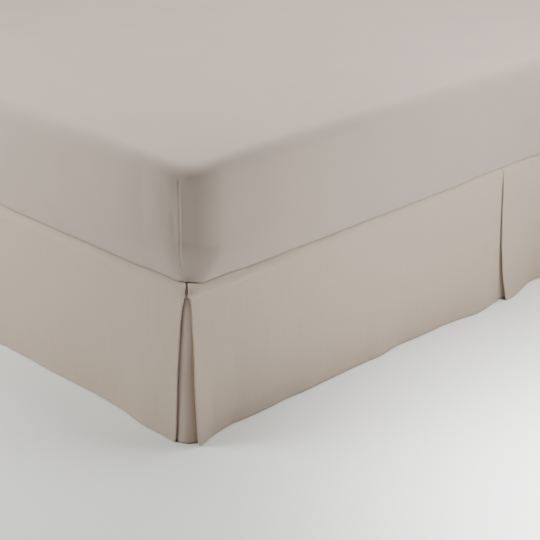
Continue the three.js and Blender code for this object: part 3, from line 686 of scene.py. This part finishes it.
def hemmed(above_hem):
    """Half the thickness of the cloth at a height above its hem: more where the hem is turned up."""
    return CLOTH / 2 + HEM_EXTRA * (1 - smooth((above_hem - HEM_TURN) / HEM_STEP))


# Linen-look cloth: a plain weave of cotton with some linen, piece dyed a warm taupe and quite matt.  Its
# upright threads swell and thin along their length, which shows as faint streaks 3 to 8 mm apart and
# about 100 mm long; the 0.6 mm weave itself is drawn at 1.2 mm so that it shows close up.
WEAVE = 1.2                      # pitch of the threads as drawn


def linen_look_cloth():
    material, tree, surface = new_material("linen_look_plain_weave")
    flat = add_node(tree, "UVMap", uv_map="flat_cloth").outputs["UV"]

    def thread_noise(across, up):
        """Noise from the size of a patch across the cloth and up it."""
        scale = (1 / (across * MM), 1 / (up * MM), 1)
        placed = add_node(tree, "Mapping", {"Vector": flat, "Scale": scale})
        return add_node(tree, "TexNoise", {"Vector": placed.outputs[0], "Scale": 1.0, "Detail": 2.0},
                        noise_dimensions="2D").outputs["Fac"]

    def threads(direction):
        return add_node(tree, "TexWave", {"Vector": flat, "Scale": math.pi / 10 / (WEAVE * MM),
                                          "Distortion": 1.5, "Detail": 1.0},
                        bands_direction=direction).outputs["Fac"]

    def weighted(first, weight, second):
        return add_node(tree, "Math", {0: first, 1: weight, 2: second},
                        operation="MULTIPLY_ADD").outputs[0]

    streaks = thread_noise(3.4, 110)
    slubs = thread_noise(2.2, 26)
    weft = thread_noise(60, 2.4)
    shade = weighted(slubs, 0.55, streaks)
    shade = weighted(weft, 0.25, shade)
    level = add_node(tree, "MapRange", {"Value": shade, "From Min": 0.6, "From Max": 1.2})
    colour = add_node(tree, "Mix", {"Factor": level.outputs[0], 6: linear("#bead9c"),
                                    7: linear("#c3b2a2")}, data_type="RGBA")
    weave = add_node(tree, "Math", {0: threads("X"), 1: threads("Y")}, operation="MULTIPLY")
    height = weighted(streaks, 1.6, slubs)
    height = weighted(weave.outputs[0], 0.35, height)
    relief = add_node(tree, "Bump", {"Height": height, "Strength": 0.5, "Distance": 0.22 * MM})
    give(tree, surface, {"Base Color": colour.outputs[2], "Normal": relief.outputs[0],
                         "Roughness": 0.88, "Specular IOR Level": 0.25, "Sheen Weight": 0.12,
                         "Sheen Roughness": 0.5, "Sheen Tint": linear("#d9d2c8")})
    return material


skirt_cloth = linen_look_cloth()
DROP_FLAPS = {
    "right": ("side_right", "right_near", "right_far", None),
    "left": ("side_left", "left_near", "left_far", None),
    "foot": ("foot_right", "foot_near", "foot_far", "foot_left"),
}
for hand, (start, slit_near, slit_far, end) in DROP_FLAPS.items():
    flaps = [
        Flap(CORNER_FLAPS, start, -1, False),
        Flap(MIDDLE_SLITS, slit_near, 1, False),
        Flap(MIDDLE_SLITS, slit_far, -1, False),
        end and Flap(CORNER_FLAPS, end, 1, True),
    ]
    rows = [drop_row(WALLS[hand], flaps, station) for station in STATIONS]
    drop, flat_size = cloth_sheet("skirt_drop_" + hand, rows, hemmed)
    drop.data.materials.append(skirt_cloth)
    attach(drop, "root")
    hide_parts("drop_" + hand)


# ------------------------------------------------------------------------------------------------------
# Corner inserts: a short strip of the same cloth, hemmed alike, sewn behind the two flaps of each foot
# corner.  It bellies out between them where they swing open.
# ------------------------------------------------------------------------------------------------------
INSERT_REACH = PLEAT_DEPTH - 14  # from the middle of the corner to each end, behind the returns
INSERT_STOPS = 40                # on each side of the middle
# turn: degrees from the middle of the corner to the foot end; half: half width in degrees; out: how far
# it stands out at most; rise: power by which it grows from the top down.
Belly = namedtuple("Belly", "turn half out rise")
INSERT_BELLY = {"right": Belly(14, 54, 15, 1.5), "left": Belly(-6, 58, 10, 1.7)}
# And a ridge close under the tack.  full, fades, flat: the drops at which it is full, fades and is gone.
Ridge = namedtuple("Ridge", "turn half out full fades flat")
INSERT_RIDGE = Ridge(-4, 22, 8.6, 0.12, 0.2, 0.6)


def insert_row(hand, station):
    """One row of an insert, from its end at the side of the bed round the corner to the foot."""
    belly, ridge = INSERT_BELLY[hand], INSERT_RIDGE
    inset, height = section(station, UNDERLAY, 0)
    drop = drop_at(height)
    shown = smooth(drop / ridge.full) * (1 - smooth((drop - ridge.fades) / (ridge.flat - ridge.fades)))
    points = []
    for stop in range(-INSERT_STOPS, INSERT_STOPS + 1):
        from_middle = INSERT_REACH * stop / INSERT_STOPS
        turn = math.degrees(from_middle / CORNER)
        out = belly.out * bell(turn - belly.turn, belly.half) * drop**belly.rise - inset
        out += shown * ridge.out * bell(turn - ridge.turn, ridge.half)
        wall = WALLS["foot" if stop > 0 else hand]
        run = CORNER - DIAGONAL + abs(from_middle)
        if wall.corners == 2 and hand == "left":
            run = wall.length - run
        points.append(Vector((*on_wall(wall, run, out, 1 / CORNER), height)))
    return points


for hand in ("right", "left"):
    rows = [insert_row(hand, station) for station in STATIONS]
    insert, flat_size = cloth_sheet("pleat_insert_" + hand, rows, hemmed)
    insert.data.materials.append(skirt_cloth)
    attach(insert, "root")
    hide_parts("insert_" + hand)


# ------------------------------------------------------------------------------------------------------
# Deck: one panel of thin plain cotton, the size of the bed less its seams, that lies on the base under
# the mattress and carries the drops.
# ------------------------------------------------------------------------------------------------------
DECK_CORNER = CORNER - SEAM - 2 * GAP
DECK_STOPS = 48                  # across
DECK_ROWS = 40                   # and along, in shares of its length
DECK_ENDS = [0, 0.0008, 0.0018]  # with these rows round its corners
DECK_MARGIN = 0.01
deck_low, deck_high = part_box("deck")


def deck_row(share):
    """One row across the deck, from its foot end to its head end, with rounded corners."""
    low, high = [(corner - base_middle) / MM for corner in (deck_low, deck_high)]
    y = blend(low.y, high.y, share)
    from_end = min(y - low.y, high.y - y)
    cut = DECK_CORNER - math.sqrt(max(0, DECK_CORNER**2 - max(0, DECK_CORNER - from_end) ** 2))
    height = (deck_low.z + deck_high.z) / 2 / MM
    stops = [blend(low.x + cut, high.x - cut, stop / DECK_STOPS) for stop in range(DECK_STOPS + 1)]
    return [Vector((x, y, height)) for x in stops]


# Thin cotton: a plain even weave, smooth and matt.  Its 0.5 mm threads are drawn as a 1.4 mm grain.
def thin_cotton():
    material, tree, surface = new_material("plain_cotton")
    place = add_node(tree, "TexCoord").outputs["Object"]
    grain = add_node(tree, "TexNoise", {"Vector": place, "Scale": 1 / (1.4 * MM), "Detail": 2.0})
    colour = add_node(tree, "Mix", {"Factor": grain.outputs["Fac"], 6: linear("#b5aca2"),
                                    7: linear("#c4bbb1")}, data_type="RGBA")
    relief = add_node(tree, "Bump", {"Height": grain.outputs["Fac"], "Strength": 0.3,
                                     "Distance": 0.15 * MM})
    give(tree, surface, {"Base Color": colour.outputs[2], "Normal": relief.outputs[0], "Roughness": 0.9})
    return material


shares = [blend(DECK_MARGIN, 1 - DECK_MARGIN, row / DECK_ROWS) for row in range(DECK_ROWS + 1)]
shares = DECK_ENDS + shares + [1 - share for share in reversed(DECK_ENDS)]
rows = [deck_row(share) for share in shares]
deck, flat_size = cloth_sheet("skirt_deck", rows, lambda above: CLOTH / 2)
deck.data.materials.append(thin_cotton())
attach(deck, "root")
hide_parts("deck")


# ------------------------------------------------------------------------------------------------------
# Mattress in its fitted sheet: a sprung mattress under a smooth cotton sheet that is stretched over it
# and held by elastic underneath.  A seam closes each of its corners, and it puckers a little there and
# along its lower edge, which leans out onto the skirt.
# ------------------------------------------------------------------------------------------------------
mattress_low, mattress_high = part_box("mattress")
MATTRESS_BELLY = 3               # bulge of the sides at mid height
MATTRESS_HALF_X = (mattress_high.x - mattress_low.x) / 2 / MM - MATTRESS_BELLY
MATTRESS_HALF_Y = (mattress_high.y - mattress_low.y) / 2 / MM - MATTRESS_BELLY
MATTRESS_BOTTOM = mattress_low.z / MM
MATTRESS_TOP = mattress_high.z / MM
MATTRESS_CORNER = 42             # plan radius at its lower edge
CORNER_LEAST = 6                 # and at least this much on the outlines further in
OUTLINE_INSET = 2 * SEAM         # further in than this they all have the same shape
BOTTOM_EDGE = 2.5
LIP = 0.5                        # its lower edge sags this much onto the skirt
LIP_REACH = 22                   # this far in, and fades over this much more
LIP_FADE = 12
LIP_SAG = 5                      # it sags at most this much more where the skirt turns down under it
LIP_SHARE = 0.85                 # by this share of the skirt's own turn
LIFT_FADE = 60                   # the lift of the pleat layers fades over this far in from the seam
FLARE = 2                        # its sides lean out this far towards their lower edge
FLARE_HEIGHT = 45
WAVER = 1.6                      # and the edge wavers in and out by this much
WAVER_LONG = 95                  # over this length
TOP_EDGE = 40
CROWN = 5                        # rise of the top from its edges to its middle
CROWN_REACH = 290
CORNER_DROOP = 22                # the sheet draws each corner down this far
DROOP_REACH = 95
CORNER_ROUND = 140               # plan reach of the corner above its lower edge
CORNER_GROWTH = 0.3              # reached at this share of the height
CORNER_SQUARE = 0.17             # how much squarer than a circle it is there, so that it starts softly
CORNER_EASE = 6                  # the padding draws in this much more towards each corner
EASE_LONG = 170                  # over this length of the long side
EASE_SHORT = 90                  # and over this length of the short side
EASE_GROWTH = 0.35               # reached at this share of the height

# The seam of each corner, and what it pulls into the sheet.  aside: distance past the seam, to the short
# side; half: half width; out: height, or depth if it is negative; up and tall: place and half height, in
# shares of the height of the mattress.
SEAM_ASIDE = 22                  # the seam runs this far beside the middle of the corner
SEAM_FOOT = 0.1                  # and curves in to the middle over this share of the height
SEAM_HEAD = 0.84                 # it ends at this share of the height
SEAM_HEAD_FADE = 0.03            # and fades over this much
Pull = namedtuple("Pull", "aside half out up tall", defaults=(None, None))
SEAM_GROOVE = Pull(0, 1.5, -0.8)
SEAM_NOTCH = Pull(0, 1.2, -2.2, 0.805, 0.035)    # the groove is wider and deeper by this at its head
SEAM_WELT = Pull(-4.2, 2.4, 0.6)
SEAM_HOLLOW = Pull(-22, 12, -0.7, 0, 0.25)       # and this one grows from the lower edge up
PUCKERS = [Pull(14, 8, -1.5, 0.48, 0.12), Pull(32, 14, -1.2, 0.62, 0.12),
           Pull(54, 20, -1.5, 0.24, 0.1), Pull(26, 13, 0.9, 0.78, 0.1)]

# Slight unevenness of the sheet: its sides, the puckers along its lower edge, and its top.
SIDE_UNEVEN = Uneven(0.9, 170, 120)
EDGE_PUCKERS = Uneven(0.7, 26, 60)
EDGE_PUCKERS_TALL = 0.1
TOP_UNEVEN = 0.8
TOP_UNEVEN_SIZE = (210, 260)     # across and along the bed

# Turns of a corner, close together at the seam, and then distances along the sides from each corner.
CORNER_TURNS = [4.2 * k for k in range(11)] + [45 + 0.72 * k for k in range(31)]
CORNER_TURNS += [70 + 4 * k for k in range(6)]
SIDE_STOPS = [3, 6, 10, 15, 21, 28, 36, 45, 55, 67, 80, 95, 112, 130, 150]
SIDE_STEP = 22


def side_stops(half):
    """Places along one straight side, from its one end to the other."""
    near = [-half + stop for stop in SIDE_STOPS]
    span = -2 * near[-1]
    steps = round(span / SIDE_STEP)
    middle = [near[-1] + span * k / steps for k in range(1, steps)]
    return near + middle + [-place for place in reversed(near)]


Rim = namedtuple("Rim", "point along")   # along: distance round the nearest corner, from its long side


def mattress_outline(inset, corner):
    """The outline of the mattress at an inset, with its corners reaching this far.  Outlines far in are
    the one at the edge, drawn in."""
    edge_inset = min(inset, OUTLINE_INSET)
    radius = max(CORNER_LEAST, corner - edge_inset)
    rounded = (corner - MATTRESS_CORNER) / (CORNER_ROUND - MATTRESS_CORNER)
    power = 1 - CORNER_SQUARE * rounded
    half_x, half_y = MATTRESS_HALF_X - edge_inset, MATTRESS_HALF_Y - edge_inset
    drawn_x, drawn_y = (MATTRESS_HALF_X - inset) / half_x, (MATTRESS_HALF_Y - inset) / half_y
    straight_x, straight_y = MATTRESS_HALF_X - MATTRESS_CORNER, MATTRESS_HALF_Y - MATTRESS_CORNER
    quarter = corner * math.pi / 2
    rims = []
    for sign_x, sign_y in ((1, -1), (1, 1), (-1, 1), (-1, -1)):
        from_long = sign_x * sign_y > 0
        arc = []
        for turn in CORNER_TURNS:
            angle = math.radians(turn)
            x = sign_x * (half_x - radius + radius * math.cos(angle) ** power)
            y = sign_y * (half_y - radius + radius * math.sin(angle) ** power)
            arc.append(Rim(Vector((x, y)), corner * angle))
        rims += arc if from_long else arc[::-1]
        if from_long:
            for stop in side_stops(straight_x):
                share = sign_x * -stop / straight_x
                rims.append(Rim(Vector((share * (half_x - radius), sign_y * half_y)),
                                quarter + straight_x - abs(stop)))
        else:
            for stop in side_stops(straight_y):
                share = sign_y * -stop / straight_y
                rims.append(Rim(Vector((sign_x * half_x, share * (half_y - radius))),
                                abs(stop) - straight_y))
    return [Rim(Vector((rim.point.x * drawn_x, rim.point.y * drawn_y)), rim.along) for rim in rims]


def press_up(x, y, inset):
    """How far this place of the underside is pushed up by pleat layers, less how far it sags."""
    on_side = HALF_WIDTH - abs(x) < HALF_LENGTH + y
    wall = WALLS["right" if on_side else "foot"]
    run = y + HALF_LENGTH if on_side else HALF_WIDTH - x
    inward = HALF_WIDTH - abs(x) if on_side else HALF_LENGTH + y
    pile = 1 - smooth((pleat_reach(wall, run) - PILE_REACH) / PILE_FADE)
    lift = 2 * LAYER_FLAT * pile * (1 - smooth((inward - 2 * SEAM) / LIFT_FADE))
    short = max(0, EDGE_TURN - max(0, inward - FLARE))
    turned_down = EDGE_TURN - math.sqrt(EDGE_TURN**2 - short**2)
    sag = min(LIP_SAG, LIP_SHARE * turned_down) + LIP * (1 - smooth((inset - LIP_REACH) / LIP_FADE))
    return lift - sag


def share_up(height):
    """How far up the mattress a height is, from 0 to 1."""
    return (height - MATTRESS_BOTTOM) / (MATTRESS_TOP - MATTRESS_BOTTOM)


def seam_relief(along, up, corner):
    """The corner seam: a groove with a welt on its long side and a notch at its head, the hollows and
    puckers that it pulls into the sheet, and the padding drawn in towards it."""
    aside = SEAM_ASIDE * (1 - math.exp(-(max(0, up / SEAM_FOOT) ** 1.5)))
    from_seam = along - corner * (math.pi / 4 + math.asin(aside / corner))
    notch = bell(up - SEAM_NOTCH.up, SEAM_NOTCH.tall)
    groove_half = SEAM_GROOVE.half + SEAM_NOTCH.half * notch
    seam = (SEAM_GROOVE.out + SEAM_NOTCH.out * notch) * bell(from_seam, groove_half)
    seam += SEAM_WELT.out * bell(from_seam - SEAM_WELT.aside, SEAM_WELT.half)
    hollow = SEAM_HOLLOW.out * bell(from_seam - SEAM_HOLLOW.aside, SEAM_HOLLOW.half)
    seam += hollow * smooth(up / SEAM_HOLLOW.tall)
    relief = seam * smooth((SEAM_HEAD - up) / SEAM_HEAD_FADE)
    for pull in PUCKERS:
        relief += pull.out * bell(from_seam - pull.aside, pull.half) * bell(up - pull.up, pull.tall)
    past_long, past_short = max(0, -along), max(0, along - corner * math.pi / 2)
    near = 1 - min(1, past_long / EASE_LONG if past_long else past_short / EASE_SHORT)
    return relief - CORNER_EASE * near**2 * smooth(up / EASE_GROWTH)


def side_relief(rim, height, corner):
    """How far the sheet stands out from the plain side of the mattress."""
    x, y = rim.point
    up = share_up(height)

    def uneven(size):
        return size.out * noise.noise((x / size.across, y / size.across, height / size.down))

    relief = seam_relief(rim.along, up, corner) + uneven(SIDE_UNEVEN)
    relief += uneven(EDGE_PUCKERS) * bell(up, EDGE_PUCKERS_TALL)
    flared = FLARE + WAVER * noise.noise((x / WAVER_LONG, y / WAVER_LONG, 4.0))
    return relief + flared * (1 - smooth((height - MATTRESS_BOTTOM) / FLARE_HEIGHT))


def mattress_ring(inset, height, bulge=0.0, drooping=0.0, pressed=0.0, stretched=0.0):
    """One ring of points.  drooping and pressed: shares of the corner droop and of press_up;
    stretched: share of the side's relief."""
    ring = []
    corner = blend(MATTRESS_CORNER, CORNER_ROUND, smooth(share_up(height) / CORNER_GROWTH))
    inner_x, inner_y = MATTRESS_HALF_X - corner, MATTRESS_HALF_Y - corner
    for rim in mattress_outline(inset, corner):
        x, y = rim.point
        to_corner = math.hypot(MATTRESS_HALF_X - abs(x), MATTRESS_HALF_Y - abs(y))
        z = height - drooping * CORNER_DROOP * bell(to_corner, DROOP_REACH)
        z += pressed * press_up(x, y, inset)
        outward = Vector((x - within(x, -inner_x, inner_x), y - within(y, -inner_y, inner_y)))
        stand = bulge + stretched * side_relief(rim, z, corner)
        if stand and outward.length > 0:
            x, y = Vector((x, y)) + outward.normalized() * stand
        if drooping:
            wide, long = TOP_UNEVEN_SIZE
            z += drooping * TOP_UNEVEN * noise.noise((x / wide, y / long, 7.0))
        ring.append(Vector((x, y, z)))
    return ring


def closed_rings(name, rings):
    """A closed mesh from rings of points, the first and the last of them filled."""
    across = len(rings[0])
    faces = []
    for i in range(len(rings) - 1):
        for j in range(across):
            a, b = i * across + j, i * across + (j + 1) % across
            faces.append((a, b, b + across, a + across))
    faces.append(tuple(range(across))[::-1])
    faces.append(tuple((len(rings) - 1) * across + j for j in range(across)))
    return add_piece(name, [point for ring in rings for point in ring], faces)


# Cotton percale: a fine close weave, washed and stretched smooth, taupe with a faint soft sheen.  Its
# 0.3 mm threads are too fine to show, so a 1.6 mm grain stands for them.
def percale():
    material, tree, surface = new_material("stretched_cotton_percale")
    place = add_node(tree, "TexCoord").outputs["Object"]
    grain = add_node(tree, "TexNoise", {"Vector": place, "Scale": 1 / (1.6 * MM), "Detail": 2.0})
    cloudy = add_node(tree, "TexNoise", {"Vector": place, "Scale": 1 / (120 * MM), "Detail": 3.0})
    uneven = add_node(tree, "Math", {0: grain.outputs["Fac"], 1: 0.3, 2: cloudy.outputs["Fac"]},
                      operation="MULTIPLY_ADD")
    shade = add_node(tree, "MapRange", {"Value": uneven.outputs[0], "From Min": 0.4, "From Max": 0.9})
    colour = add_node(tree, "Mix", {"Factor": shade.outputs[0], 6: linear("#b4a498"),
                                    7: linear("#b8a99c")}, data_type="RGBA")
    relief = add_node(tree, "Bump", {"Height": grain.outputs["Fac"], "Strength": 0.25,
                                     "Distance": 0.1 * MM})
    give(tree, surface, {"Base Color": colour.outputs[2], "Normal": relief.outputs[0],
                         "Roughness": 0.82, "Specular IOR Level": 0.3, "Sheen Weight": 0.1,
                         "Sheen Roughness": 0.5})
    return material


# Rings from the middle of the underside, round its edge, up the sides and over the top to its middle.
UNDER_INSETS = (735, 600, 450, 300, 190, 130)
PRESSED_INSETS = (100, 2 * SEAM, 40, 34, 28, 22, 14)
TOP_INSETS = (50, 62, 76, 92, 112, 140, 175, 220, 270, 330, 400, 480, 560, 640, 700, 735)
DROOP_INSETS = (330, 630)        # the droop of the corners fades out between these
BOTTOM_EDGE_STEPS = 7
SIDE_ROWS = 34
TOP_EDGE_STEPS = 12
side_bottom = MATTRESS_BOTTOM + BOTTOM_EDGE
side_top = MATTRESS_TOP - CROWN - TOP_EDGE
rings = [mattress_ring(inset, MATTRESS_BOTTOM) for inset in UNDER_INSETS]
rings += [mattress_ring(inset, MATTRESS_BOTTOM, pressed=1) for inset in PRESSED_INSETS]
for step in range(BOTTOM_EDGE_STEPS + 1):
    share = step / BOTTOM_EDGE_STEPS
    angle = math.pi / 2 * (1 - share)
    inset, height = BOTTOM_EDGE * (1 - math.cos(angle)), side_bottom - BOTTOM_EDGE * math.sin(angle)
    rings.append(mattress_ring(inset, height, pressed=1, stretched=max(0.5, share)))
for row in range(1, SIDE_ROWS):
    share = row / SIDE_ROWS
    bulge = MATTRESS_BELLY * 4 * share * (1 - share)
    rings.append(mattress_ring(0, blend(side_bottom, side_top, share), bulge=bulge,
                               pressed=1 - smooth(3 * share), stretched=1))
for step in range(TOP_EDGE_STEPS + 1):
    share = step / TOP_EDGE_STEPS
    angle = math.pi / 2 * share
    inset, height = TOP_EDGE * (1 - math.cos(angle)), side_top + TOP_EDGE * math.sin(angle)
    rings.append(mattress_ring(inset, height, drooping=share, stretched=math.cos(angle)))
for inset in TOP_INSETS:
    height = MATTRESS_TOP - CROWN * (1 - smooth((inset - TOP_EDGE) / CROWN_REACH))
    fading = smooth((inset - DROOP_INSETS[0]) / (DROOP_INSETS[1] - DROOP_INSETS[0]))
    rings.append(mattress_ring(inset, height, drooping=1 - fading))
mattress = closed_rings("mattress_in_fitted_sheet", rings)
mattress.data.materials.append(percale())
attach(mattress, "root")
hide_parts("mattress")


# ------------------------------------------------------------------------------------------------------
# Floor, light and camera: a plain pale floor, matt as if painted, in a dim studio, with four softboxes
# close to the bed.  Lengths are in metres again.
# ------------------------------------------------------------------------------------------------------
FLOOR_RADIUS = 14
STUDIO_DIMNESS = 0.05


def floor_finish():
    material, tree, surface = new_material("plain_pale_floor")
    give(tree, surface, {"Base Color": linear("#f5f6f3"), "Roughness": 0.7, "Specular IOR Level": 0.2})
    return material


bpy.ops.object.select_all(action="DESELECT")
bpy.ops.mesh.primitive_circle_add(vertices=96, radius=FLOOR_RADIUS, fill_type="NGON", location=(0, 0, 0))
floor = bpy.context.object
floor.name = "floor"
floor.data.materials.append(floor_finish())

world = bpy.data.worlds.new("dim_studio")
world.use_nodes = True
give(world.node_tree, world.node_tree.nodes["Background"],
     {"Color": linear("#f3f3f1"), "Strength": STUDIO_DIMNESS})
bpy.context.scene.world = world

# Softboxes, in metres, watts and degrees: one at each side that is seen, one overhead, and one that
# lights only the floor beside the bed.
Softbox = namedtuple("Softbox", "name at aim width height spread watts")
SOFTBOXES = [
    Softbox("foot_softbox", (-0.46, -2.15, 1.55), (-0.4, -1.0, 0.3), 1.2, 1.2, 180, 46),
    Softbox("side_softbox", (1.5, 0.14, 1.25), (0.75, 0.14, 0.3), 0.9, 0.9, 180, 14.7),
    Softbox("overhead_softbox", (0.0, 1.0, 2.8), (0.0, 0.6, 0.5), 3.0, 3.0, 180, 124),
    Softbox("floor_softbox", (1.85, -0.4, 2.2), (1.85, -0.4, 0.0), 0.5, 0.5, 50, 25),
]
for box in SOFTBOXES:
    lamp = bpy.data.lights.new(box.name, "AREA")
    lamp.shape = "RECTANGLE"
    lamp.size = box.width
    lamp.size_y = box.height
    lamp.spread = math.radians(box.spread)
    lamp.energy = box.watts
    holder = bpy.data.objects.new(box.name, lamp)
    holder.location = box.at
    holder.rotation_euler = (Vector(box.aim) - Vector(box.at)).to_track_quat("-Z", "Y").to_euler()
    holder.visible_camera = False
    bpy.context.collection.objects.link(holder)

SENSOR = 36.0
FOCAL_LENGTH = 101.7
CAMERA_FROM_BED = Vector((2.79508, -2.78104, 1.56693))
LOOKING = Vector((-0.65395, 0.64287, -0.39883))
camera = bpy.data.cameras.new("camera")
camera.sensor_width = SENSOR
camera.lens = FOCAL_LENGTH
camera_holder = bpy.data.objects.new("camera", camera)
camera_holder.location = BED_MIDDLE + CAMERA_FROM_BED
camera_holder.rotation_euler = LOOKING.to_track_quat("-Z", "Y").to_euler()
bpy.context.collection.objects.link(camera_holder)
bpy.context.scene.camera = camera_holder
